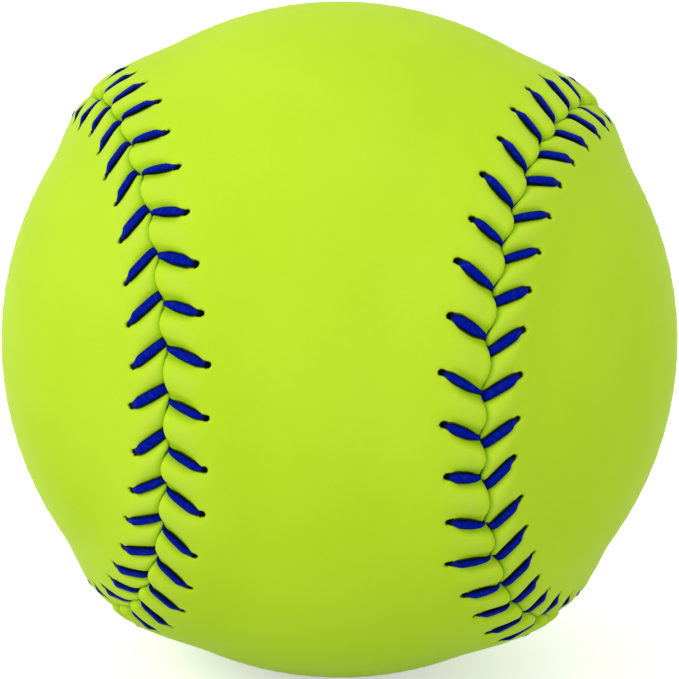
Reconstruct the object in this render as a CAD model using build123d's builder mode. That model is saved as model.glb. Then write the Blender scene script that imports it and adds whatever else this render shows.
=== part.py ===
# A 12-inch softball: a moulded core, a film of latex cement, two cover panels and two waxed threads.
# The origin is the centre of the ball. -Y faces the front panel's waist, which runs along Z.
# Lengths are millimetres and angles are degrees.
from build123d import *
from math import cos, pi, radians, sin, sqrt, tan
import os
import numpy as np

# Ball
ball_girth = 304.8
cover_thickness = 2.0
film_thickness = 0.4

# Seam line: the width of a panel's waist along the ball, and how far the seam leans back
# where it crosses from the front waist to the back one
waist_width = 40.0
seam_lean = 14.9

# Raised seam: the lips of both panels stand up over the threads that pass under them
seam_rise = 1.9
welt_width = 12.0
crest_offset = 2.2
lip_drop = 0.9

# Two-needle stitches, counted on a quarter of the seam: every stitch is a V of two legs, one on each lip
quarter_stitches = 22
hole_offset = 5.3
stitch_lead = 2.6
needle_spread = 1.4
leg_width = 1.9
thread_width = 1.1
thread_thickness = 0.9
thread_clearance = 0.1

# How deep the foot of a lip runs into the rest of its panel, and how far the two lap
foot_sink = 0.1
panel_lap = 1.0

# Sizes that follow from these
ball_radius = ball_girth / (2 * pi)
film_radius = ball_radius - cover_thickness
core_radius = film_radius - film_thickness
seam_gap = thread_thickness + 2 * thread_clearance
hole_diameter = thread_width + 2 * thread_clearance
wall_span = 2 * (cover_thickness + seam_rise)
stitch_count = 4 * quarter_stitches

# Points that carry the curves
length_samples = 4000
lip_stations = 12
slope_points = 5
leg_shares = (0.35, 0.7)


def seam_shape():
    """The two shares of the seam formula that give the waist's width and the seam's lean."""
    half_waist = tan(waist_width / (2 * ball_radius))
    lean = tan(radians(seam_lean))
    third_share = (2 * lean + half_waist) / (4 * (lean + half_waist))
    return third_share, (1 - 2 * third_share) / half_waist


third_share, height_share = seam_shape()


def seam_direction(t):
    """Unit vector from the ball's centre to the seam, which closes after t has gone through 2 pi."""
    u = (1 - third_share) * cos(t) + third_share * cos(3 * t)
    v = third_share * sin(3 * t) - (1 - third_share) * sin(t)
    w = height_share * sin(2 * t)
    return Vector((u + v) / sqrt(2), w, (v - u) / sqrt(2)).normalized()


# Lengths along the seam, counted as it is sewn, from the middle of the front waist's right side
sewing_start = -pi / 4
sample_t = np.linspace(sewing_start, sewing_start + 2 * pi, length_samples + 1)
sample_points = np.array([tuple(seam_direction(t) * ball_radius) for t in sample_t])
sample_steps = np.linalg.norm(np.diff(sample_points, axis=0), axis=1)
sample_length = np.concatenate([[0], np.cumsum(sample_steps)])
seam_length = sample_length[-1]
stitch_pitch = seam_length / stitch_count


def seam_frame(along):
    """Outward, forward and sideways directions on the seam. Sideways is towards the front panel."""
    t = np.interp(along % seam_length, sample_length, sample_t)
    step = pi / length_samples
    outward = seam_direction(t)
    forward = (seam_direction(t + step) - seam_direction(t - step)).normalized()
    return outward, forward, forward.cross(outward)


def near_seam(along, across, height):
    """The point at a length along the seam, a distance across it and a height above the ball."""
    outward, _, sideways = seam_frame(along)
    turn = across / ball_radius
    return (outward * cos(turn) + sideways * sin(turn)) * (ball_radius + height)


def in_section(across, height):
    """The same point in a plane square to the seam, through the ball's centre, with Y outward."""
    turn = across / ball_radius
    return (ball_radius + height) * sin(turn), (ball_radius + height) * cos(turn)


def welt_share(across):
    """0 at the crest of a lip, 1 at its foot."""
    return min(max((abs(across) - crest_offset) / (welt_width - crest_offset), 0), 1)


def welt_height(across):
    """Height of the raised lip above the ball, before its edge is rounded."""
    return seam_rise * (1 + cos(pi * welt_share(across))) / 2


def lip_height(across):
    """Height of the lip's outside, which rounds down from its crest to the seam."""
    fall = max(1 - abs(across) / crest_offset, 0)
    return welt_height(across) - lip_drop * (1 - sqrt(1 - fall**2))


# One quarter of the seam, from the front waist to the end of the front panel's lower lobe,
# and one stitch past both ends so that it can be cut square there
lip_lengths = np.linspace(-stitch_pitch, seam_length / 4 + stitch_pitch, lip_stations)


def seam_line(across, height):
    """A curve beside that quarter of the seam."""
    return Edge.make_spline([near_seam(along, across, height) for along in lip_lengths])


# Lip of the front panel: outer slope, rounded nose, edge at the seam and hollow underside
slope_offsets = np.linspace(crest_offset, welt_width, slope_points)
slope_sinks = [foot_sink * welt_share(d) for d in slope_offsets]
outer_slope = [in_section(d, welt_height(d) - sink) for d, sink in zip(slope_offsets, slope_sinks)]
under_slope = [in_section(d, welt_height(d) - cover_thickness + foot_sink) for d in slope_offsets]
nose_edge = in_section(seam_gap / 2, lip_height(seam_gap / 2))
under_edge = in_section(seam_gap / 2, seam_rise - cover_thickness + foot_sink)
with BuildPart() as lip:
    for along in lip_lengths:
        outward, _, sideways = seam_frame(along)
        with BuildSketch(Plane((0, 0, 0), x_dir=sideways, z_dir=sideways.cross(outward))):
            with BuildLine():
                slope = Spline(*outer_slope)
                TangentArc(slope @ 0, nose_edge, tangent=-(slope % 0))
                underside = Spline(*under_slope)
                Polyline(nose_edge, under_edge, underside @ 0)
                Line(slope @ 1, underside @ 1)
            make_face()
    loft()
    split(bisect_by=Plane.YZ, keep=Keep.TOP)
    split(bisect_by=Plane.XY, keep=Keep.BOTTOM)

# Quarter of the spherical shell, cut where the lip laps it. The sphere's poles lie on the other panel.
lap_line = welt_width - panel_lap
lap_cut = Face.make_surface_from_curves(seam_line(lap_line, -wall_span), seam_line(lap_line, wall_span))
with BuildPart() as quarter_shell:
    with Locations(Plane((0, 0, 0), x_dir=(0, 1, 0), z_dir=(1, 0, 0)).location):
        Sphere(ball_radius)
        Sphere(film_radius, mode=Mode.SUBTRACT)
    split(bisect_by=Plane.YZ, keep=Keep.TOP)
    split(bisect_by=Plane.XY, keep=Keep.BOTTOM)
    split(bisect_by=lap_cut, keep=Keep.BOTH)


def stitch_hole(index):
    """Place of a punched stitch hole in the front panel, square to the ball."""
    spot = near_seam(index * stitch_pitch, hole_offset, 0)
    return Plane(spot, z_dir=spot).location


# Front panel: one quarter with its stitch holes, mirrored twice
with BuildPart() as front_panel:
    add(lip.part)
    add(quarter_shell.part.solids().sort_by(Axis.Y)[0])
    with Locations(*[stitch_hole(i) for i in range(quarter_stitches + 1)]):
        Cylinder(hole_diameter / 2, wall_span, mode=Mode.SUBTRACT)
    mirror(about=Plane.XY)
    mirror(about=Plane.YZ)

# Back panel: the same piece, half a turn round so that its waist faces +Y and runs along X
with BuildPart() as back_panel:
    with Locations(Plane((0, 0, 0), x_dir=(0, 0, 1), z_dir=(1, 0, 0)).location):
        add(front_panel.part)

# Core
with BuildPart() as core:
    Sphere(core_radius)

# Cement film
with BuildPart() as cement_film:
    Sphere(film_radius)
    Sphere(core_radius, mode=Mode.SUBTRACT)


def thread_stations(first_side):
    """Route of a thread as (along, across, height, width): over one lip, down the gap, under the other."""
    seat = thread_thickness / 2 + thread_clearance
    stations = []
    for i in range(stitch_count):
        side = first_side * (-1) ** i
        hole = i * stitch_pitch
        apex = hole + stitch_lead - side * needle_spread / 2
        hole_bottom = welt_height(hole_offset) - cover_thickness - seat
        stations.append((hole, side * hole_offset, hole_bottom, thread_width))
        stations.append((hole, side * hole_offset, lip_height(hole_offset) + seat, thread_width))
        for share in leg_shares:
            across = hole_offset * (1 - share)
            along = hole + (apex - hole) * share
            stations.append((along, side * across, lip_height(across) + seat, leg_width))
        stations.append((apex, 0, lip_height(seam_gap / 2) + seat, thread_width))
        stations.append((apex, 0, seam_rise - cover_thickness - seat, thread_width))
    return stations


def thread_section(width):
    """Corners of a thread that lies flat, with a ridge along its middle."""
    return [(width / 2, 0), (0, thread_thickness / 2), (-width / 2, 0), (0, -thread_thickness / 2)]


def thread_rings(first_side):
    """Corners of the thread at each station, which stay level with the seam as it goes up, over and down."""
    stations = thread_stations(first_side)
    points = [near_seam(*station[:3]) for station in stations]
    steps = [(end - start).normalized() for start, end in zip(points, points[1:])]
    headings = [before + after for before, after in zip(steps[:1] + steps, steps + steps[-1:])]
    rings = []
    for (along, _, _, width), point, heading in zip(stations, points, headings):
        _, forward, _ = seam_frame(along)
        level = forward - heading * (forward.dot(heading) / heading.dot(heading))
        plane = Plane(point, x_dir=level, z_dir=heading)
        rings.append([plane.from_local_coords(corner) for corner in thread_section(width)])
    return rings


def flat_face(*corners):
    """A flat face between corners that run anticlockwise, seen from outside."""
    return Face(Wire.make_polygon(corners))


def sewn_thread(first_side):
    """One unbroken thread with flat sides. Its two tails end under the lips."""
    rings = thread_rings(first_side)
    faces = [flat_face(*rings[0][::-1]), flat_face(*rings[-1])]
    for ring, following in zip(rings, rings[1:]):
        for j in range(len(ring)):
            faces.append(flat_face(ring[j - 1], ring[j], following[j]))
            faces.append(flat_face(ring[j - 1], following[j], following[j - 1]))
    with BuildPart() as thread:
        add(Solid(Shell(faces)))
    return thread


first_thread = sewn_thread(1)
second_thread = sewn_thread(-1)

os.makedirs("parts", exist_ok=True)
pieces = {
    "core": core,
    "cement_film": cement_film,
    "front_panel": front_panel,
    "back_panel": back_panel,
    "first_thread": first_thread,
    "second_thread": second_thread,
}
for name, piece in pieces.items():
    piece.part.label = name
    export_step(piece.part, f"parts/{name}.step")
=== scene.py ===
"""Looks of a 12-inch softball: the sewn leather cover, the two waxed threads and the studio around them.

Lengths are metres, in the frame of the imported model: the origin is the centre of the ball, -Y faces the
front panel's waist and +Z runs up along it.
"""
import math

import bpy
import numpy as np
from bpy.props import FloatProperty, FloatVectorProperty, IntProperty, PointerProperty
from mathutils import Euler, Matrix, Vector


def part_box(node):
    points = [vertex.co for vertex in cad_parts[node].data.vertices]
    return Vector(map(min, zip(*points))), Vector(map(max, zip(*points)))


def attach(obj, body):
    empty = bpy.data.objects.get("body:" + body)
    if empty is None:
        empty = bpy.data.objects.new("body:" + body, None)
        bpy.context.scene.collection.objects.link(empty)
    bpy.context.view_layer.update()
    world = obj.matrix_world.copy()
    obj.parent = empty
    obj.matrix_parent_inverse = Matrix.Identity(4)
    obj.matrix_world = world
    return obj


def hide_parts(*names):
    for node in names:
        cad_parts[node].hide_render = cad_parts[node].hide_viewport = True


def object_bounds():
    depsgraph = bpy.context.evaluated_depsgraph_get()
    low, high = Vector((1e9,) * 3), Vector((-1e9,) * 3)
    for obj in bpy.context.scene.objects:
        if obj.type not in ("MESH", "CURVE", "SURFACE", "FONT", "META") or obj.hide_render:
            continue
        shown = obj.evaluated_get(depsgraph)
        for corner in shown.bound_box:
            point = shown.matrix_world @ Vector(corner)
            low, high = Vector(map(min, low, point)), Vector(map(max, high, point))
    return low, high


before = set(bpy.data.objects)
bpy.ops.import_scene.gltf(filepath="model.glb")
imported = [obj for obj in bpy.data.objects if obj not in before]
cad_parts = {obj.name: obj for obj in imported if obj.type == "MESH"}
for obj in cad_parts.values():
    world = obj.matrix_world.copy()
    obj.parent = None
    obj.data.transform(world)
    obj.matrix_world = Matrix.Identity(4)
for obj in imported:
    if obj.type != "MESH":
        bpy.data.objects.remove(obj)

bl_info = {
    "name": "Softball looks",
    "version": (1, 0, 0),
    "blender": (4, 5, 0),
    "location": "View3D > Sidebar > Softball",
    "description": "Dresses the packed softball: sewn cover, waxed threads, inside finishes and a studio",
    "category": "Object",
}

MM = 0.001
BODY = "root"
CAD_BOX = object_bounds()
BALL_RADIUS = -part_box("front_panel")[0].z
FILM_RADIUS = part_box("cement_film")[1].z

# Numbers of the two panels, and the side of the seam on which each lies
FRONT = 0
BACK = 1
SIDE_SIGNS = (1.0, -1.0)

# Panel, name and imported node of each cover, and of each thread by the panel where its sewing starts
COVERS = ((FRONT, "front_cover", "front_panel"), (BACK, "back_cover", "back_panel"))
STITCHINGS = ((FRONT, "first_stitching", "first_thread"), (BACK, "second_stitching", "second_thread"))

# Sampling of the surfaces
LENGTH_SAMPLES = 8000
COLUMNS_PER_STITCH = 22
NOSE_ROWS = 6
LIP_ROWS = 19
SLOPE_ROWS = 6
BODY_ROWS = 9
INNER_ROWS = 5
THREAD_SIDES = 12
LEG_STATIONS = 16

# Legs looked at on each side of the nearest one
LEGS_BESIDE = 2

# Seed of the sewing's unevenness, and how uneven a leg's width and a scallop are, as shares of their size
STITCH_SEED = 12
WIDTH_JITTER = 0.09
SCALLOP_JITTER = 0.2

# Angle of the seam's formula at which the sewing starts
SEWING_START = -math.pi / 4

# Angle from the middle of a panel's waist to each end of its middle line
LOBE_REACH = math.radians(118)

# Power of the sine that shapes scallops and pillows: below 1 they are fuller than a sine
FULLNESS = 0.8

# Share of the hole offset at which a pillow starts to run out, and share of its height below the plain welt
PILLOW_FADE = 0.3
PILLOW_SINK = 0.6

# A stitch hole in hole radii: how far its middle lies beyond the thread's, the radius of its floor and the
# width of its sloping rim. Distances across the seam count less, so that it is drawn out.
HOLE_SHIFT = 0.3
HOLE_FLOOR = 0.6
HOLE_RIM = 0.5
HOLE_STRETCH = 0.8

# Foot of a welt, in welt widths, and end of a lip, in hole offsets
FOOT_SHARE = 1.1
LIP_SHARE = 1.35

# Underside of a lip's nose: places from the crease, in nose radii, and depths, as shares of the leather
# that is left below the nose. The inside starts at a share of the hole offset.
TUCK_INSETS = (0.2, 0.8)
TUCK_DEPTHS = (0.5, 0.8)
INNER_START = 0.3

# Shares of a leg's length, from its hole: where it has risen, where it has its full width, where it begins
# to taper and where it begins to dive
RISE_SHARE = 0.3
SWELL_SHARE = 0.28
TAPER_START = 0.55
DIVE_START = 0.7

# Height of a thread's middle, in thicknesses: above its bed on the lip and at the crease, below the leather
# in the hole, and above the film where it runs under the cover
SEAT_SHARE = 0.42
DIVE_SHARE = 0.35
HOLE_SINK = 0.5
UNDER_SHARE = 0.75

# How boxy a thread's oval section is: 2 is an ellipse
OVAL_POWER = 2.2

# Keeps a thread's heading defined where it turns straight back
LEAST_STEP = 1e-9

# Share of the way from the seam to the holes at which the painted shade in a leg's bed starts to run out,
# and how dark the painted shade on the back lip is at the crease, as a share of that bed's shade
BED_FADE = 0.5
CREASE_DARKNESS = 0.3

# Name of the shader group that all finishes share, the depth of a bump and the strength of each
GRAIN_NAME = "surface_grain"
BUMP_DEPTH = 0.5 * MM
PORE_BUMP = 0.02
CREASING_BUMP = 0.05
STRAND_BUMP = 0.02
FIBRE_BUMP = 0.03
CELL_BUMP = 0.12

# Length of one twist of a thread's strands, and their slant, in radians from its middle to its edge
STRAND_PITCH = 0.9 * MM
STRAND_SLANT = 4.0

# Brightness of the cells in the inside finishes, as a share of the finish
CELL_SHADE = 0.8

# Place and size of the key lamp
KEY_PLACE = Vector((-0.42, -0.52, 0.44))
KEY_SIZE = 0.3

# Half the floor's width, the signs of its corners and how much it glows where it is looked at
FLOOR_REACH = 4.0
FLOOR_SIGNS = ((-1, -1), (1, -1), (1, 1), (-1, 1))
FLOOR_GLOW = 0.5

# Width of the camera's sensor, in millimetres
SENSOR_WIDTH = 36.0

WHITE = (1, 1, 1, 1)


def length(name, millimetres, description):
    """A size of the ball, in metres."""
    return FloatProperty(
        name=name, description=description, default=millimetres * MM, unit="LENGTH", precision=5
    )


def share(name, value, description):
    """A plain number, such as a share or a strength."""
    return FloatProperty(name=name, description=description, default=value)


def turn(name, degrees, description):
    """An angle."""
    return FloatProperty(name=name, description=description, default=math.radians(degrees), subtype="ANGLE")


def colour(name, values, description):
    """A linear colour."""
    return FloatVectorProperty(
        name=name, description=description, default=values, size=3, min=0, max=1, subtype="COLOR"
    )


class SoftballSizes(bpy.types.PropertyGroup):
    """Sizes of the cover and of its stitches."""

    ball_radius: length("Ball radius", BALL_RADIUS / MM, "Radius of the bare panels")
    film_radius: length("Film radius", FILM_RADIUS / MM, "Radius of the cement film under the cover")
    waist_width: length("Waist width", 40.0, "Width of a panel's waist along the ball")
    seam_lean: turn("Seam lean", 14.9, "Lean of the seam where it crosses from one waist to the other")
    seam_rise: length("Seam rise", 1.65, "Height of the raised lips above the ball")
    front_welt: length("Front welt", 14.5, "Distance from the seam over which the front lip runs out")
    back_welt: length("Back welt", 12.0, "Distance from the seam over which the back lip runs out")
    crest_offset: length("Crest offset", 1.6, "Distance of a lip's crest from the seam")
    nose_radius: length("Nose radius", 1.0, "How far a lip's rounded edge reaches in from the crease")
    front_drop: length("Front drop", 1.05, "Depth of the crease below the crest of the front lip")
    back_drop: length("Back drop", 0.55, "Depth of the crease below the crest of the back lip")
    back_sink: length("Back sink", 0.5, "How much lower the back lip lies than the front one at the crease")
    scallop: length("Scallop", 0.75, "How far the front lip bulges over the crease between two stitches")
    puff: length("Puff", 0.85, "Height of the pillows between two stitches above the thread's bed")
    bed_share: share("Bed share", 0.15, "Share of a stitch's pitch on each side of a leg that stays flat")
    stitch_count: IntProperty(name="Stitches", description="Stitches round the seam", default=88, min=4)
    hole_offset: length("Hole offset", 5.0, "Distance of a stitch hole from the seam")
    hole_radius: length("Hole radius", 0.45, "Radius of a stitch hole")
    hole_depth: length("Hole depth", 0.6, "How far the leather dips into a stitch hole")
    stitch_lead: length("Stitch lead", 2.6, "How far a stitch's seam end lies ahead of its holes")
    needle_spread: length("Needle spread", 1.4, "How far along the seam back legs end ahead of front ones")
    leg_width: length("Leg width", 1.35, "Width of a thread where it lies flat on a lip")
    # Painted shade: within these distances from a leg and from the crease the leather is painted darker
    bed_width: length("Bed width", 2.2, "Distance from a leg over which the leather is pressed and darker")
    crease_shade: length("Crease shade", 1.2, "Distance from the crease over which the back lip is darker")
    tip_share: share("Tip share", 0.58, "Width of a leg at its hole, as a share of its full width")
    front_end_share: share("Front end share", 0.5, "The same for a front leg at the crease")
    back_end_share: share("Back end share", 0.9, "The same for a back leg at the crease")
    thread_width: length("Thread width", 0.9, "Width of a thread in a hole and in the crease")
    thread_thickness: length("Thread thickness", 0.6, "Thickness of a thread")
    stitch_jitter: length("Stitch jitter", 0.25, "Unevenness of the hand sewing")


class SoftballFinish(bpy.types.PropertyGroup):
    """Colours of the ball and of the studio."""

    leather: colour("Leather", (0.495, 0.74, 0.02), "Optic yellow of the leather")
    leather_pale: colour("Pale leather", (0.525, 0.775, 0.03), "Paler mottling of the leather")
    # Painted highlight: the pillows' crowns are painted paler where light would catch them
    crown_highlight: colour("Painted crown highlight", (0.505, 0.737, 0.044), "Paler crowns of the pillows")
    # Painted shade beside the legs and on the back lip under the front lip's overhang
    leather_shade: colour("Painted leather shade", (0.27, 0.52, 0.001), "Leather in the creases beside the stitches")
    # Painted shade: this dark is painted into the stitch holes, as a contact shadow along each leg and on
    # the thread's tips in the holes
    hole: colour("Stitch hole", (0.002, 0.004, 0.002), "Dark of a stitch hole and of the contact_shadows beside a leg")
    thread: colour("Thread", (0.0003, 0.008, 0.31), "Waxed blue thread")
    # Painted glints: paler spots standing in for highlights on the thread
    thread_glint: colour("Pale thread", (0.012, 0.035, 0.47), "Fibres of the thread that catch the light")
    # Painted shade in the thread's furrows and along its edges
    thread_shade: colour("Dark thread", (0.0003, 0.004, 0.022), "Furrows and edges of the thread")
    core: colour("Core", (0.72, 0.66, 0.50), "Moulded polyurethane")
    cement: colour("Cement", (0.80, 0.74, 0.58), "Dried latex cement")
    floor: colour("Floor", (0.92, 0.92, 0.92), "Pale studio floor")
    floor_bounce: colour("Floor bounce", (0.72, 0.72, 0.72), "Light that the floor throws on the ball")


class SoftballView(bpy.types.PropertyGroup):
    """Camera and light of the studio."""

    distance: length("Camera distance", 360.0, "Distance of the camera from the ball's centre")
    lens: share("Lens", 131.9, "Focal length in millimetres, for a sensor 36 mm wide")
    pitch: turn("Pitch", 12.74, "Turn of the ball towards the camera, about X")
    yaw: turn("Yaw", -2.27, "Turn of the ball about Z")
    roll: turn("Roll", 1.21, "Turn of the ball about Y")
    key_power: share("Key power", 1.8, "Power of the large lamp at the upper left, in watts")
    sky_bright: share("Bright sky", 0.91, "Strength of the light from the upper left")
    sky_dim: share("Dim sky", 0.73, "Strength of the light from the lower right")


def smooth_step(values):
    """3x^2 - 2x^3 on 0 to 1, flat outside."""
    clipped = np.clip(values, 0, 1)
    return clipped * clipped * (3 - 2 * clipped)


def unit(vectors):
    """Vectors scaled to length 1 along the last axis."""
    return vectors / np.linalg.norm(vectors, axis=-1, keepdims=True)


def after_start(start, end, count):
    """Evenly spaced values from start to end, without start itself."""
    return np.linspace(start, end, count + 1)[1:]


class SeamLine:
    """The closed seam on the ball, measured by its length as it is sewn.

    With a = 1 - b it runs through the directions ((u + v) / sqrt 2, c sin 2t, (v - u) / sqrt 2), where
    u = a cos t + b cos 3t and v = b sin 3t - a sin t. The shares b and c follow from the waist and the lean.
    """

    def __init__(self, sizes):
        half_waist = math.tan(sizes.waist_width / (2 * sizes.ball_radius))
        lean = math.tan(sizes.seam_lean)
        self.radius = sizes.ball_radius
        self.third_share = (2 * lean + half_waist) / (4 * (lean + half_waist))
        self.height_share = (1 - 2 * self.third_share) / half_waist
        self.turns = SEWING_START + np.linspace(0, 2 * np.pi, LENGTH_SAMPLES + 1)
        steps = np.diff(self.direction(self.turns) * self.radius, axis=0)
        self.lengths = np.concatenate([[0], np.cumsum(np.linalg.norm(steps, axis=1))])
        self.length = self.lengths[-1]

    def direction(self, turns):
        """Unit vectors from the ball's centre to the seam."""
        first_share = 1 - self.third_share
        u = first_share * np.cos(turns) + self.third_share * np.cos(3 * turns)
        v = self.third_share * np.sin(3 * turns) - first_share * np.sin(turns)
        w = self.height_share * np.sin(2 * turns)
        return unit(np.stack([(u + v) / math.sqrt(2), w, (v - u) / math.sqrt(2)], axis=-1))

    def turn_at(self, along):
        """The formula's angle at a length along the seam."""
        return np.interp(along % self.length, self.lengths, self.turns)

    def axes(self, along):
        """Outward, forward and sideways directions. Sideways is towards the front panel."""
        turns = self.turn_at(along)
        half_sample = np.pi / LENGTH_SAMPLES
        outward = self.direction(turns)
        forward = unit(self.direction(turns + half_sample) - self.direction(turns - half_sample))
        return outward, forward, np.cross(forward, outward)

    def point(self, along, across, height):
        """Points at lengths along the seam, distances across it and heights above the ball."""
        outward, _, sideways = self.axes(along)
        angle = (across / self.radius)[..., None]
        return (outward * np.cos(angle) + sideways * np.sin(angle)) * (self.radius + height)[..., None]


class StitchPlan:
    """Holes and seam ends of every stitch's two legs, as arrays of (panel, stitch), a little uneven."""

    def __init__(self, sizes, seam):
        draw = np.random.default_rng(STITCH_SEED)
        shape = (2, sizes.stitch_count)
        self.count = sizes.stitch_count
        self.pitch = seam.length / sizes.stitch_count
        self.seam_length = seam.length
        places = np.arange(sizes.stitch_count) * self.pitch
        spread = -np.array(SIDE_SIGNS)[:, None] * sizes.needle_spread / 2
        jitter = sizes.stitch_jitter
        self.hole_along = places + jitter * draw.normal(size=shape)
        self.hole_across = sizes.hole_offset + jitter * draw.normal(size=shape)
        self.end_along = places + sizes.stitch_lead + spread + jitter * draw.normal(size=shape)
        self.end_inset = np.zeros(shape)
        self.width = sizes.leg_width * (1 + WIDTH_JITTER * draw.normal(size=shape))
        self.scallop = sizes.scallop * (1 + SCALLOP_JITTER * draw.normal(size=sizes.stitch_count))

    def climb_width(self, side, index):
        """Distance across the seam from a leg's hole to its end."""
        return self.hole_across[side][index] - self.end_inset[side][index]

    def neighbours(self, side, along, inset):
        """The legs nearest to points at a distance inset from the seam: the length along the seam at which
        each leg passes, its number, and its hole's place across and along the seam. A leg runs straight from
        its hole to its end."""
        lead = self.end_along[side].mean() - self.hole_along[side].mean()
        nearest = np.round((along - lead) / self.pitch)
        beside = np.arange(-LEGS_BESIDE, LEGS_BESIDE + 1)
        numbers = nearest[None] + beside.reshape(-1, *[1] * along.ndim)
        index = numbers.astype(int) % self.count
        wraps = np.floor(numbers / self.count) * self.seam_length
        hole_across = self.hole_across[side][index]
        climb = np.clip((hole_across - inset[None]) / self.climb_width(side, index), 0, 1)
        start = self.hole_along[side][index]
        passes = start + (self.end_along[side][index] - start) * climb + wraps
        return passes, index, hole_across, start + wraps

    def between(self, side, along, inset):
        """Share of the way from one leg to the next at each point, and the number of the leg before it."""
        passes, index, _, _ = self.neighbours(side, along, inset)
        behind = passes <= along[None]
        before = np.where(behind, passes, -np.inf)
        after = np.where(behind, np.inf, passes)
        last = before.argmax(axis=0)[None]
        low = np.take_along_axis(before, last, axis=0)[0]
        high = after.min(axis=0)
        return (along - low) / (high - low), np.take_along_axis(index, last, axis=0)[0]


class CoverShape:
    """Heights of the two lips: a raised welt, pillows between the legs, holes and a scalloped crease."""

    def __init__(self, sizes):
        self.sizes = sizes
        self.seam = SeamLine(sizes)
        self.plan = StitchPlan(sizes, self.seam)
        self.plan.end_inset[BACK] = -self.crease(self.plan.end_along[BACK])

    def crease(self, along):
        """Place of the crease across the seam: |sin| scallops of the front lip, cusped at its stitches."""
        between, number = self.plan.between(FRONT, along, np.zeros_like(along))
        return -self.plan.scallop[number] * np.sin(np.pi * between) ** FULLNESS

    def welt_width(self, side):
        """Distance from the seam over which a lip runs out."""
        return (self.sizes.front_welt, self.sizes.back_welt)[side]

    def welt(self, side, inset):
        """Half a cosine from the crest down to the foot of the welt."""
        crest = self.sizes.crest_offset
        fall = np.clip((inset - crest) / (self.welt_width(side) - crest), 0, 1)
        return self.sizes.seam_rise * (1 + np.cos(np.pi * fall)) / 2

    def pillow(self, side, along, inset):
        """A pillow's shape, |sin| from one leg's flat bed to the next, and its share left past the holes."""
        sizes = self.sizes
        between, _ = self.plan.between(side, along, inset)
        rise = np.clip((between - sizes.bed_share) / (1 - 2 * sizes.bed_share), 0, 1)
        fade = 1 - smooth_step((inset - PILLOW_FADE * sizes.hole_offset) / sizes.hole_offset)
        return np.sin(np.pi * rise) ** FULLNESS, fade

    def relief(self, side, along, inset):
        """Height of the pillows, which lie partly above and partly below the plain welt."""
        swell, fade = self.pillow(side, along, inset)
        return self.sizes.puff * fade * (swell - PILLOW_SINK)

    def crown_highlight_share(self, side, along, inset):
        """1 on the crown of a pillow, where a paler highlight is painted. 0 in the beds, at the crease and
        past the holes."""
        swell, fade = self.pillow(side, along, inset)
        return swell**2 * fade * smooth_step(inset / self.sizes.crest_offset)

    def hole_reach(self, side, along, inset):
        """Distance from the middle of the nearest stitch hole, in hole radii. A hole is drawn out away from
        the seam."""
        radius = self.sizes.hole_radius
        _, _, hole_across, hole_along = self.plan.neighbours(side, along, inset)
        aside = along[None] - hole_along
        out = inset[None] - hole_across - HOLE_SHIFT * radius
        return np.sqrt(aside**2 + (HOLE_STRETCH * out) ** 2).min(axis=0) / radius

    def leg_profile(self, side, way):
        """Width of a leg on its way from the hole to the crease, as a share of its full width: it swells
        from its tip, then tapers to its end."""
        sizes = self.sizes
        end_share = np.where(side == FRONT, sizes.front_end_share, sizes.back_end_share)
        swell = sizes.tip_share + (1 - sizes.tip_share) * smooth_step(way / SWELL_SHARE)
        taper = 1 - (1 - end_share) * smooth_step((way - TAPER_START) / (1 - TAPER_START))
        return swell * taper

    def leg_reach(self, side, along, inset):
        """Distance from the middle of the nearest leg, in half widths of that leg: 1 is the leg's edge."""
        plan = self.plan
        passes, index, hole_across, _ = plan.neighbours(side, along, inset)
        run = plan.end_along[side][index] - plan.hole_along[side][index]
        climb_width = plan.climb_width(side, index)
        aside = np.abs(along[None] - passes) * climb_width / np.hypot(climb_width, run)
        past = np.maximum(inset[None] - hole_across, 0)
        way = np.clip((hole_across - inset[None]) / climb_width, 0, 1)
        half_width = plan.width[side][index] * self.leg_profile(side, way) / 2
        return (np.hypot(aside, past) / half_width).min(axis=0)

    def painted_shade_share(self, side, along, inset):
        """Share of painted shade: 1 under a leg, 0 from a bed's width away, measured along the seam. It runs
        out at the holes.
        Under the overhanging front lip the back lip gets painted shade too."""
        sizes = self.sizes
        passes, *_ = self.plan.neighbours(side, along, inset)
        aside = np.abs(along[None] - passes).min(axis=0)
        run_out = smooth_step((inset / sizes.hole_offset - BED_FADE) / (1 - BED_FADE))
        bed = (1 - smooth_step(aside / sizes.bed_width)) * (1 - run_out)
        overhung = 1 - smooth_step((inset + self.crease(along)) / sizes.crease_shade)
        darkness = (0.0, CREASE_DARKNESS)[side]
        return np.maximum(bed, darkness * overhung)

    def top(self, side, along, inset):
        """Height of a lip's outside above the ball, before its edge is rounded."""
        sink = (0.0, self.sizes.back_sink)[side]
        lowered = sink * (1 - smooth_step(inset / self.sizes.hole_offset))
        return self.welt(side, inset) + self.relief(side, along, inset) - lowered


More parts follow.
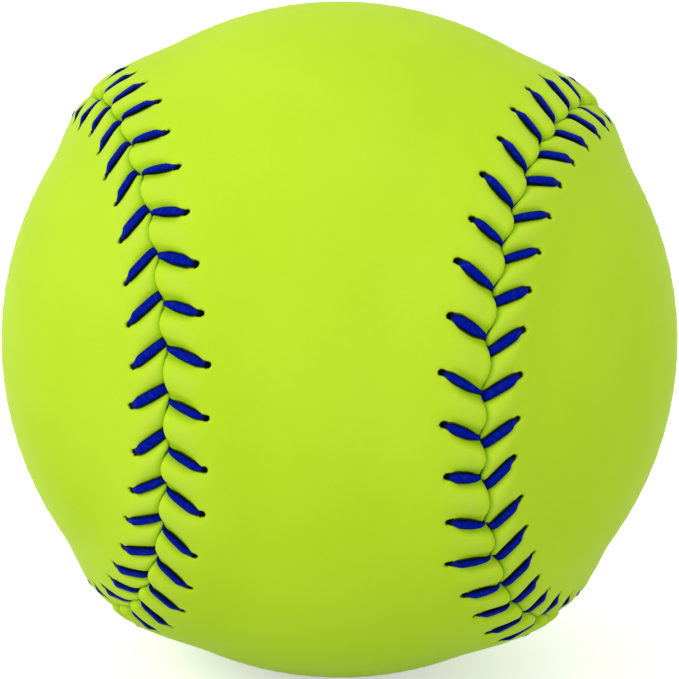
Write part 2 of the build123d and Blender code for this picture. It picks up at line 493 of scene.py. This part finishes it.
def sheet_rows(shape, side):
    """Lengths of a panel's columns along the seam, and its rows as arrays of (column, row): distance in from
    the seam, height above the ball and share of the way to the middle line.

    The rows run from the middle line over the outside to the lip, round its nose, under it and back along
    the inside. The nose is a quarter ellipse whose extreme lies on the crease.
    """
    sizes = shape.sizes
    columns = sizes.stitch_count * COLUMNS_PER_STITCH
    along = np.arange(columns) * shape.seam.length / columns
    edge = SIDE_SIGNS[side] * shape.crease(along)[:, None]
    drop = (sizes.front_drop, sizes.back_drop)[side]
    foot = FOOT_SHARE * shape.welt_width(side)
    lip_end = LIP_SHARE * sizes.hole_offset
    thickness = sizes.ball_radius - sizes.film_radius

    def alike(values):
        """Rows that have the same values in every column."""
        return np.tile(values, (columns, 1))

    body = alike(np.linspace(1, 0, BODY_ROWS + 1))
    body_inset = np.full_like(body, foot)
    slope_inset = alike(after_start(foot, lip_end, SLOPE_ROWS))
    nose_start = edge + sizes.nose_radius
    lip_inset = lip_end + (nose_start - lip_end) * after_start(0, 1, LIP_ROWS)
    angle = after_start(0, np.pi / 2, NOSE_ROWS)
    nose_inset = edge + sizes.nose_radius * (1 - np.sin(angle))
    tuck_inset = edge + np.array(TUCK_INSETS) * sizes.nose_radius
    halfway = (sizes.hole_offset + foot) / 2
    inner_inset = alike((INNER_START * sizes.hole_offset, sizes.hole_offset, halfway, foot))
    closing = alike(after_start(0, 1, INNER_ROWS))
    closing_inset = np.full_like(closing, foot)

    outer = np.concatenate([body_inset, slope_inset, lip_inset, nose_inset], axis=1)
    wide_along = np.tile(along[:, None], (1, outer.shape[1]))
    height = shape.top(side, wide_along, outer)
    reach = shape.hole_reach(side, wide_along, outer)
    height -= sizes.hole_depth * (1 - smooth_step((reach - HOLE_FLOOR) / HOLE_RIM))
    height[:, -NOSE_ROWS:] -= drop * (1 - np.cos(angle))
    tuck_height = height[:, -1:] - np.array(TUCK_DEPTHS) * (thickness - drop)
    inner_height = shape.welt(side, inner_inset) - thickness
    closing_height = np.repeat(inner_height[:, -1:], INNER_ROWS, axis=1)

    inset = np.concatenate([outer, tuck_inset, inner_inset, closing_inset], axis=1)
    heights = np.concatenate([height, tuck_height, inner_height, closing_height], axis=1)
    beside_middle = np.zeros((columns, inset.shape[1] - body.shape[1] - INNER_ROWS))
    middle = np.concatenate([body, beside_middle, closing], axis=1)
    return along, inset, heights, middle


def middle_line(shape, side, along):
    """Directions of the panel's middle line, an arc through its waist from lobe to lobe, for every column.

    Its angle from the waist follows the seam's angle as a triangle wave.
    """
    turns = shape.seam.turn_at(along) - SEWING_START
    if side == FRONT:
        angle = -LOBE_REACH * 2 / np.pi * np.arcsin(np.sin(turns))
        return np.stack([np.zeros_like(angle), -np.cos(angle), np.sin(angle)], axis=-1)
    angle = LOBE_REACH * 2 / np.pi * np.arcsin(np.cos(turns))
    return np.stack([np.sin(angle), np.cos(angle), np.zeros_like(angle)], axis=-1)


def closed_panel(shape, side):
    """Points, faces and point shares of a panel: a closed sheet whose columns all end on its middle line.

    Between the welt and the middle line a point lies on the great circle that joins them.
    """
    along, inset, heights, middle = sheet_rows(shape, side)
    columns, rows = inset.shape
    wide_along = np.tile(along[:, None], (1, rows))
    welt_points = unit(shape.seam.point(wide_along, SIDE_SIGNS[side] * inset, np.zeros_like(inset)))
    targets = middle_line(shape, side, along)[:, None, :]
    arc = np.arccos(np.clip((welt_points * targets).sum(axis=-1), -1, 1))[..., None]
    way = middle[..., None]
    directions = (np.sin((1 - way) * arc) * welt_points + np.sin(way * arc) * targets) / np.sin(arc)
    points = directions * (shape.sizes.ball_radius + heights)[..., None]

    # Columns that mirror each other end in the same points of the middle line
    column = np.arange(columns)
    mirror_sum = columns // 2 if side == FRONT else 0
    partner = np.minimum(column, (mirror_sum - column) % columns)
    numbers = np.arange(columns * rows).reshape(columns, rows)
    numbers[:, 0] = numbers[partner, 0]
    numbers[:, -1] = numbers[partner, -1]
    following = np.roll(numbers, -1, axis=0)
    corners = (numbers[:, :-1], numbers[:, 1:], following[:, 1:], following[:, :-1])
    faces = np.stack(corners, axis=-1).reshape(-1, 4)
    if side == FRONT:
        faces = faces[:, ::-1]

    used, compact = np.unique(faces, return_inverse=True)
    measures = {
        "hole_reach": shape.hole_reach,
        "bed": shape.painted_shade_share,
        "crown": shape.crown_highlight_share,
        "leg_reach": shape.leg_reach,
    }
    shares = {
        name: measure(side, wide_along, inset).reshape(-1)[used] for name, measure in measures.items()
    }
    return points.reshape(-1, 3)[used], compact.reshape(-1, 4), shares


def new_piece(name, points, faces, shares, material):
    """A smooth mesh object with float attributes on its points."""
    mesh = bpy.data.meshes.new(name)
    mesh.from_pydata(points, [], faces)
    mesh.polygons.foreach_set("use_smooth", np.ones(len(mesh.polygons), dtype=bool))
    for share_name, values in shares.items():
        attribute = mesh.attributes.new(share_name, "FLOAT", "POINT")
        attribute.data.foreach_set("value", values.astype(np.float32))
    mesh.materials.append(material)
    mesh.validate()
    piece = bpy.data.objects.new(name, mesh)
    bpy.context.scene.collection.objects.link(piece)
    return piece


def thread_route(shape, first_side):
    """Route of a thread as arrays over (stitch, station): its points, lengths along the seam, widths and
    shares of the way along a leg. It comes up through a hole, lies over its lip, dives into the crease and
    runs under the other lip to the next hole, on the other panel."""
    sizes = shape.sizes
    plan = shape.plan
    stitch = np.arange(sizes.stitch_count)
    side = (first_side + stitch) % 2
    sign = np.array(SIDE_SIGNS)[side][:, None]
    start = plan.hole_along[side, stitch][:, None]
    end = plan.end_along[side, stitch][:, None]
    out = plan.hole_across[side, stitch][:, None]
    wide = plan.width[side, stitch][:, None]
    way = np.linspace(0, 1, LEG_STATIONS)[None]
    crease = shape.crease(end[:, 0])[:, None] * sign
    leg_along = start + (end - start) * way
    leg_inset = out + (crease - out) * way
    lip_inset = np.maximum(leg_inset, 0)
    tops = [shape.top(panel, leg_along, lip_inset) for panel in (FRONT, BACK)]
    surface = np.where(side[:, None] == FRONT, *tops)
    nose = np.clip(1 - (leg_inset - crease) / sizes.nose_radius, 0, 1)
    fall = sizes.front_drop * (1 - np.sqrt(1 - nose**2))
    risen = smooth_step(way / RISE_SHARE)
    seat = SEAT_SHARE - (SEAT_SHARE - DIVE_SHARE) * smooth_step((way - DIVE_START) / (1 - DIVE_START))
    leg_height = surface - fall + sizes.thread_thickness * (seat * risen - HOLE_SINK * (1 - risen))
    leg_width = wide * shape.leg_profile(side[:, None], way)

    single = (sizes.stitch_count, 1)
    low = np.full(single, sizes.film_radius - sizes.ball_radius + UNDER_SHARE * sizes.thread_thickness)
    plain = np.full(single, sizes.thread_width)
    hole_share = np.zeros(single)
    crease_share = np.ones(single)
    along = np.concatenate([start, start, leg_along, end, end], axis=1)
    inset = np.concatenate([out, out, leg_inset, crease, crease], axis=1)
    height = np.concatenate([low, low / 2, leg_height, low / 2, low], axis=1)
    width = np.concatenate([plain, plain, leg_width, plain, plain], axis=1)
    ways = np.tile(way, single)
    leg_share = np.concatenate([hole_share, hole_share, ways, crease_share, crease_share], axis=1)
    return shape.seam.point(along, sign * inset, height), along, width, leg_share


def oval_side(values):
    """A cosine or sine carried to the oval |x|^p + |y|^p = 1: its sign times its size to the power 2 / p."""
    return np.sign(values) * np.abs(values) ** (2 / OVAL_POWER)


def sewn_thread(shape, first_side):
    """Points, faces and point shares of one unbroken thread: a flat oval carried along its route.

    The oval is laid level with the seam. Both tails are closed by a cap.
    """
    points, along, width, leg_share = thread_route(shape, first_side)
    points = points.reshape(-1, 3)
    width = width.reshape(-1)
    steps = np.diff(points, axis=0)
    courses = unit(steps)
    heading = unit(np.concatenate([courses[:1], courses[1:] + courses[:-1] + LEAST_STEP, courses[-1:]]))
    _, forward, _ = shape.seam.axes(along.reshape(-1))
    level = unit(forward - heading * (forward * heading).sum(axis=1, keepdims=True))
    upright = np.cross(heading, level)
    angle = np.linspace(0, 2 * np.pi, THREAD_SIDES, endpoint=False)
    oval_x = oval_side(np.cos(angle))
    oval_y = oval_side(np.sin(angle))
    sideways = level[:, None] * (oval_x * width[:, None] / 2)[..., None]
    upwards = upright[:, None] * (oval_y * shape.sizes.thread_thickness / 2)[None, :, None]
    rings = points[:, None] + sideways + upwards

    numbers = np.arange(rings.shape[0] * THREAD_SIDES).reshape(-1, THREAD_SIDES)
    beside = np.roll(numbers, -1, axis=1)
    corners = (numbers[:-1], beside[:-1], beside[1:], numbers[1:])
    faces = np.stack(corners, axis=-1).reshape(-1, 4).tolist()
    faces += [numbers[0, ::-1].tolist(), numbers[-1].tolist()]
    travelled = np.concatenate([[0], np.cumsum(np.linalg.norm(steps, axis=1))])
    shares = {
        "leg_way": np.repeat(leg_share.reshape(-1), THREAD_SIDES),
        "travelled": np.repeat(travelled, THREAD_SIDES),
        "around": np.tile(oval_x, rings.shape[0]),
    }
    return rings.reshape(-1, 3), faces, shares


def principled(name):
    """A new material and its shader and node tree, ready to be linked."""
    material = bpy.data.materials.new(name)
    material.use_nodes = True
    tree = material.node_tree
    return material, tree.nodes["Principled BSDF"], tree


def add_node(tree, kind, **values):
    """A node with the given properties, or socket defaults for names that start with a capital letter."""
    node = tree.nodes.new(kind)
    for name, value in values.items():
        if name[0].isupper():
            node.inputs[name.replace("_", " ")].default_value = value
        else:
            setattr(node, name, value)
    return node


def feed(tree, socket, value):
    """Link a socket to a result, or set it to a number or an opaque colour."""
    if isinstance(value, bpy.types.NodeSocket):
        tree.links.new(value, socket)
    elif socket.type == "RGBA":
        socket.default_value = (*value, 1)
    else:
        socket.default_value = value


def link_finish(tree, shader, **results):
    """Link results to the shader's sockets of the same names."""
    for name, result in results.items():
        tree.links.new(result, shader.inputs[name.replace("_", " ")])


def grain_group():
    """The shader group that all finishes share: noise on Object coordinates, as a share from Low to High.

    Scale is in cells a metre.
    """
    group = bpy.data.node_groups.get(GRAIN_NAME)
    if group:
        return group
    group = bpy.data.node_groups.new(GRAIN_NAME, "ShaderNodeTree")
    for name in ("Scale", "Detail", "Low", "High"):
        group.interface.new_socket(name, in_out="INPUT", socket_type="NodeSocketFloat")
    group.interface.new_socket("Share", in_out="OUTPUT", socket_type="NodeSocketFloat")
    given = add_node(group, "NodeGroupInput")
    place = add_node(group, "ShaderNodeTexCoord")
    noise = add_node(group, "ShaderNodeTexNoise")
    stretched_and_highlit = add_node(group, "ShaderNodeMapRange")
    result = add_node(group, "NodeGroupOutput")
    for start, end in (
        (place.outputs["Object"], noise.inputs["Vector"]),
        (given.outputs["Scale"], noise.inputs["Scale"]),
        (given.outputs["Detail"], noise.inputs["Detail"]),
        (noise.outputs["Fac"], stretched_and_highlit.inputs["Value"]),
        (given.outputs["Low"], stretched_and_highlit.inputs["From Min"]),
        (given.outputs["High"], stretched_and_highlit.inputs["From Max"]),
        (stretched_and_highlit.outputs["Result"], result.inputs["Share"]),
    ):
        group.links.new(start, end)
    return group


def grain(tree, scale, detail, low=0.3, high=0.7):
    """The shared grain, placed with its own values."""
    node = add_node(
        tree, "ShaderNodeGroup", node_tree=grain_group(), Scale=scale, Detail=detail, Low=low, High=high
    )
    return node.outputs["Share"]


def point_share(tree, name):
    """A float attribute of the mesh."""
    return add_node(tree, "ShaderNodeAttribute", attribute_name=name).outputs["Fac"]


def mapped(tree, value, low, high, to_low=0.0, to_high=1.0):
    """A value carried from one range to another, and held at its ends."""
    node = add_node(
        tree, "ShaderNodeMapRange", From_Min=low, From_Max=high, To_Min=to_low, To_Max=to_high
    )
    feed(tree, node.inputs["Value"], value)
    return node.outputs["Result"]


def mixed(tree, factor, first, second):
    """A colour between two, each a colour or a socket."""
    node = add_node(tree, "ShaderNodeMix", data_type="RGBA")
    for name, value in (("Factor", factor), ("A", first), ("B", second)):
        feed(tree, node.inputs[name], value)
    return node.outputs["Result"]


def calculated(tree, operation, *operands):
    """Result of a Math node on operands that are sockets or numbers."""
    node = add_node(tree, "ShaderNodeMath", operation=operation)
    for socket, operand in zip(node.inputs, operands):
        feed(tree, socket, operand)
    return node.outputs["Value"]


def bump_normal(tree, heights):
    """Normal of a bump made from a sum of (height, strength) pairs."""
    total = 0.0
    for value, strength in heights:
        total = calculated(tree, "MULTIPLY_ADD", value, strength, total)
    bump = add_node(tree, "ShaderNodeBump", Strength=1.0, Distance=BUMP_DEPTH)
    tree.links.new(total, bump.inputs["Height"])
    return bump.outputs["Normal"]


def leather_material(finish):
    """Smooth optic yellow leather: faint cloudy mottling and fine pores, with painted shade in the thread
    beds, beside the crease and in the stitch holes, a painted contact shadow along the legs and a painted
    highlight on the pillow crowns.
    """
    material, shader, tree = principled("optic_yellow_leather")
    mottling = grain(tree, scale=45.0, detail=3.0)
    pores = grain(tree, scale=2600.0, detail=2.0)
    creasing = grain(tree, scale=320.0, detail=4.0)
    # Painted shade in the thread beds and beside the crease
    bed = mapped(tree, point_share(tree, "bed"), low=0.1, high=0.75, to_high=0.85)
    # Painted contact shadow: a dark line on the leather along each leg's edge
    contact_shadow = mapped(tree, point_share(tree, "leg_reach"), low=1.0, high=1.25, to_low=0.9, to_high=0.0)
    # Painted shade: the dark inside each stitch hole
    hole = mapped(tree, point_share(tree, "hole_reach"), low=0.8, high=1.1, to_low=1.0, to_high=0.0)
    cover = mixed(tree, mottling, finish.leather, finish.leather_pale)
    # Painted highlight on the pillow crowns
    stretched_and_highlit = mixed(tree, point_share(tree, "crown"), cover, finish.crown_highlight)
    shadowed = mixed(tree, bed, stretched_and_highlit, finish.leather_shade)
    contact_shadowed = mixed(tree, contact_shadow, shadowed, finish.hole)
    hole_shaded = mixed(tree, hole, contact_shadowed, finish.hole)
    roughness = mapped(tree, creasing, low=0.0, high=1.0, to_low=0.46, to_high=0.54)
    normal = bump_normal(tree, ((pores, PORE_BUMP), (creasing, CREASING_BUMP)))
    link_finish(tree, shader, Base_Color=hole_shaded, Roughness=roughness, Normal=normal)
    shader.inputs["Specular IOR Level"].default_value = 0.03
    return material


def thread_material(finish):
    """Waxed blue thread: strands that twist round it, with painted shade in their furrows, along its edges
    and at the hole, and painted glints on some fibres.

    The strands are sin(2 pi travelled / pitch + slant * around).
    """
    material, shader, tree = principled("waxed_blue_thread")
    around = point_share(tree, "around")
    travelled = point_share(tree, "travelled")
    fibres = grain(tree, scale=1500.0, detail=3.0)
    twist = calculated(tree, "MULTIPLY", around, STRAND_SLANT)
    phase = calculated(tree, "MULTIPLY_ADD", travelled, 2 * math.pi / STRAND_PITCH, twist)
    strand = calculated(tree, "SINE", phase)
    # Painted glints on the thread, placed by the noise
    glint = mapped(tree, fibres, low=0.5, high=1.0, to_high=0.4)
    # Painted shade in the strands' furrows and along the thread's edges
    furrow_shade = mapped(tree, strand, low=-1.0, high=0.2, to_low=0.2, to_high=0.0)
    edge = mapped(tree, calculated(tree, "ABSOLUTE", around), low=0.5, high=0.95, to_high=0.9)
    # Painted shade: the thread is darkened where it dips into the hole
    tip = mapped(tree, point_share(tree, "leg_way"), low=0.03, high=0.1, to_low=1.0, to_high=0.0)
    waxed_and_glinted = mixed(tree, glint, finish.thread, finish.thread_glint)
    furrow_shaded = mixed(tree, furrow_shade, waxed_and_glinted, finish.thread_shade)
    edge_shaded = mixed(tree, edge, furrow_shaded, finish.thread_shade)
    tip_shaded = mixed(tree, tip, edge_shaded, finish.hole)
    roughness = mapped(tree, fibres, low=0.0, high=1.0, to_low=0.42, to_high=0.58)
    normal = bump_normal(tree, ((strand, STRAND_BUMP), (fibres, FIBRE_BUMP)))
    link_finish(tree, shader, Base_Color=tip_shaded, Roughness=roughness, Normal=normal)
    shader.inputs["Specular IOR Level"].default_value = 0.015
    return material


def inside_material(name, tint, roughness, cell_scale):
    """A dull inside finish with small cells."""
    material, shader, tree = principled(name)
    cells = grain(tree, scale=cell_scale, detail=3.0)
    darker = tuple(CELL_SHADE * part for part in tint)
    shaded = mixed(tree, cells, tint, darker)
    normal = bump_normal(tree, ((cells, CELL_BUMP),))
    link_finish(tree, shader, Base_Color=shaded, Normal=normal)
    shader.inputs["Roughness"].default_value = roughness
    return material


def background_ray(tree):
    """1 for rays that see the background itself, 0 for rays that only carry its light."""
    path = add_node(tree, "ShaderNodeLightPath")
    seen = path.outputs["Is Camera Ray"]
    for ray in ("Is Glossy Ray", "Is Transmission Ray"):
        seen = calculated(tree, "MAXIMUM", seen, path.outputs[ray])
    return seen


def floor_material(finish):
    """Pale matte floor, white where it is looked at, that throws less light back on the ball."""
    material, shader, tree = principled("pale_floor")
    seen = background_ray(tree)
    shade = mixed(tree, seen, finish.floor_bounce, finish.floor)
    glow = calculated(tree, "MULTIPLY", seen, FLOOR_GLOW)
    link_finish(tree, shader, Base_Color=shade, Emission_Strength=glow)
    shader.inputs["Emission Color"].default_value = WHITE
    shader.inputs["Roughness"].default_value = 1.0
    shader.inputs["Specular IOR Level"].default_value = 0.0
    return material


class SOFTBALL_OT_cover(bpy.types.Operator):
    """Sew the front and the back panel of the cover"""

    bl_idname = "softball.cover"
    bl_label = "Cover panels"

    def execute(self, context):
        sizes = context.scene.softball_sizes
        shape = CoverShape(sizes)
        material = leather_material(context.scene.softball_finish)
        for side, name, node in COVERS:
            piece = new_piece(name, *closed_panel(shape, side), material)
            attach(piece, BODY)
            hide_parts(node)
        return {"FINISHED"}


class SOFTBALL_OT_threads(bpy.types.Operator):
    """Sew the two waxed threads"""

    bl_idname = "softball.threads"
    bl_label = "Stitching"

    def execute(self, context):
        shape = CoverShape(context.scene.softball_sizes)
        material = thread_material(context.scene.softball_finish)
        for side, name, node in STITCHINGS:
            piece = new_piece(name, *sewn_thread(shape, side), material)
            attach(piece, BODY)
            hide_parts(node)
        return {"FINISHED"}


class SOFTBALL_OT_inside(bpy.types.Operator):
    """Finish the core and the cement film"""

    bl_idname = "softball.inside"
    bl_label = "Core and cement"

    def execute(self, context):
        finish = context.scene.softball_finish
        materials = {
            "core": inside_material("moulded_core", finish.core, roughness=0.7, cell_scale=700.0),
            "cement_film": inside_material("latex_cement", finish.cement, roughness=0.55, cell_scale=250.0),
        }
        for node, material in materials.items():
            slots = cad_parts[node].data.materials
            slots.clear()
            slots.append(material)
        return {"FINISHED"}


class SOFTBALL_OT_stage(bpy.types.Operator):
    """Set up the floor, the lights and the camera"""

    bl_idname = "softball.stage"
    bl_label = "Studio"

    def execute(self, context):
        scene = context.scene
        view = scene.softball_view
        self.add_floor(scene)
        self.add_sky(scene, view)
        self.add_key(scene, view)
        self.add_camera(scene, view)
        scene.view_settings.view_transform = "Standard"
        return {"FINISHED"}

    def add_floor(self, scene):
        """A wide level square that the ball rests on."""
        level = CAD_BOX[0][2]
        corners = [(FLOOR_REACH * x, FLOOR_REACH * y, level) for x, y in FLOOR_SIGNS]
        face = tuple(range(len(corners)))
        floor = new_piece("floor", corners, [face], {}, floor_material(scene.softball_finish))

    def add_sky(self, scene, view):
        """A white background. Its light on the ball is strongest from the key lamp's side."""
        world = bpy.data.worlds.new("studio")
        scene.world = world
        world.use_nodes = True
        tree = world.node_tree
        looking = add_node(tree, "ShaderNodeTexCoord")
        facing = add_node(tree, "ShaderNodeVectorMath", operation="DOT_PRODUCT")
        facing.inputs[1].default_value = KEY_PLACE.normalized()
        tree.links.new(looking.outputs["Generated"], facing.inputs[0])
        strength = mapped(
            tree, facing.outputs["Value"], low=-1.0, high=1.0, to_low=view.sky_dim, to_high=view.sky_bright
        )
        sky = tree.nodes["Background"]
        sky.inputs["Color"].default_value = WHITE
        tree.links.new(strength, sky.inputs["Strength"])
        backdrop = add_node(tree, "ShaderNodeBackground", Color=WHITE, Strength=1.0)
        chosen = add_node(tree, "ShaderNodeMixShader")
        results = (background_ray(tree), sky.outputs[0], backdrop.outputs[0])
        for result, socket in zip(results, chosen.inputs):
            tree.links.new(result, socket)
        tree.links.new(chosen.outputs[0], tree.nodes["World Output"].inputs["Surface"])

    def add_key(self, scene, view):
        """A large soft lamp at the upper left, turned towards the ball."""
        lamp = bpy.data.lights.new("key", "AREA")
        lamp.energy = view.key_power
        lamp.size = KEY_SIZE
        key = bpy.data.objects.new("key", lamp)
        scene.collection.objects.link(key)
        key.location = KEY_PLACE
        key.rotation_euler = (-KEY_PLACE).to_track_quat("-Z", "Y").to_euler()

    def add_camera(self, scene, view):
        """The ball is seen as if turned by roll, pitch and yaw before a camera on -Y, so the camera gets the
        inverse turn round the ball."""
        lens = bpy.data.cameras.new("camera")
        lens.lens = view.lens
        lens.sensor_width = SENSOR_WIDTH
        camera = bpy.data.objects.new("camera", lens)
        scene.collection.objects.link(camera)
        ball_turn = Euler((view.pitch, view.roll, view.yaw), "XYZ").to_matrix().to_4x4()
        facing = Matrix.Translation((0, -view.distance, 0)) @ Euler((math.pi / 2, 0, 0)).to_matrix().to_4x4()
        camera.matrix_world = ball_turn.inverted() @ facing
        scene.camera = camera


class SOFTBALL_PT_looks(bpy.types.Panel):
    """Lists the ball's sizes, finishes and building steps"""

    bl_label = "Softball"
    bl_idname = "SOFTBALL_PT_looks"
    bl_space_type = "VIEW_3D"
    bl_region_type = "UI"
    bl_category = "Softball"

    def draw(self, context):
        for group_name in GROUPS:
            group = getattr(context.scene, group_name)
            box = self.layout.box()
            for name in group.__annotations__:
                box.prop(group, name)
        for step in STEPS:
            self.layout.operator(step.bl_idname)


STEPS = (SOFTBALL_OT_cover, SOFTBALL_OT_threads, SOFTBALL_OT_inside, SOFTBALL_OT_stage)
GROUPS = {"softball_sizes": SoftballSizes, "softball_finish": SoftballFinish, "softball_view": SoftballView}
CLASSES = (*GROUPS.values(), *STEPS, SOFTBALL_PT_looks)


def register():
    """Register the classes and give every scene the three groups of properties."""
    for cls in CLASSES:
        bpy.utils.register_class(cls)
    for name, group in GROUPS.items():
        setattr(bpy.types.Scene, name, PointerProperty(type=group))


def unregister():
    """Undo what register does."""
    for name in GROUPS:
        delattr(bpy.types.Scene, name)
    for cls in reversed(CLASSES):
        bpy.utils.unregister_class(cls)


def main():
    """Dress the ball."""
    register()
    bpy.ops.softball.cover()
    bpy.ops.softball.threads()
    bpy.ops.softball.inside()
    bpy.ops.softball.stage()


if __name__ == "__main__":
    main()
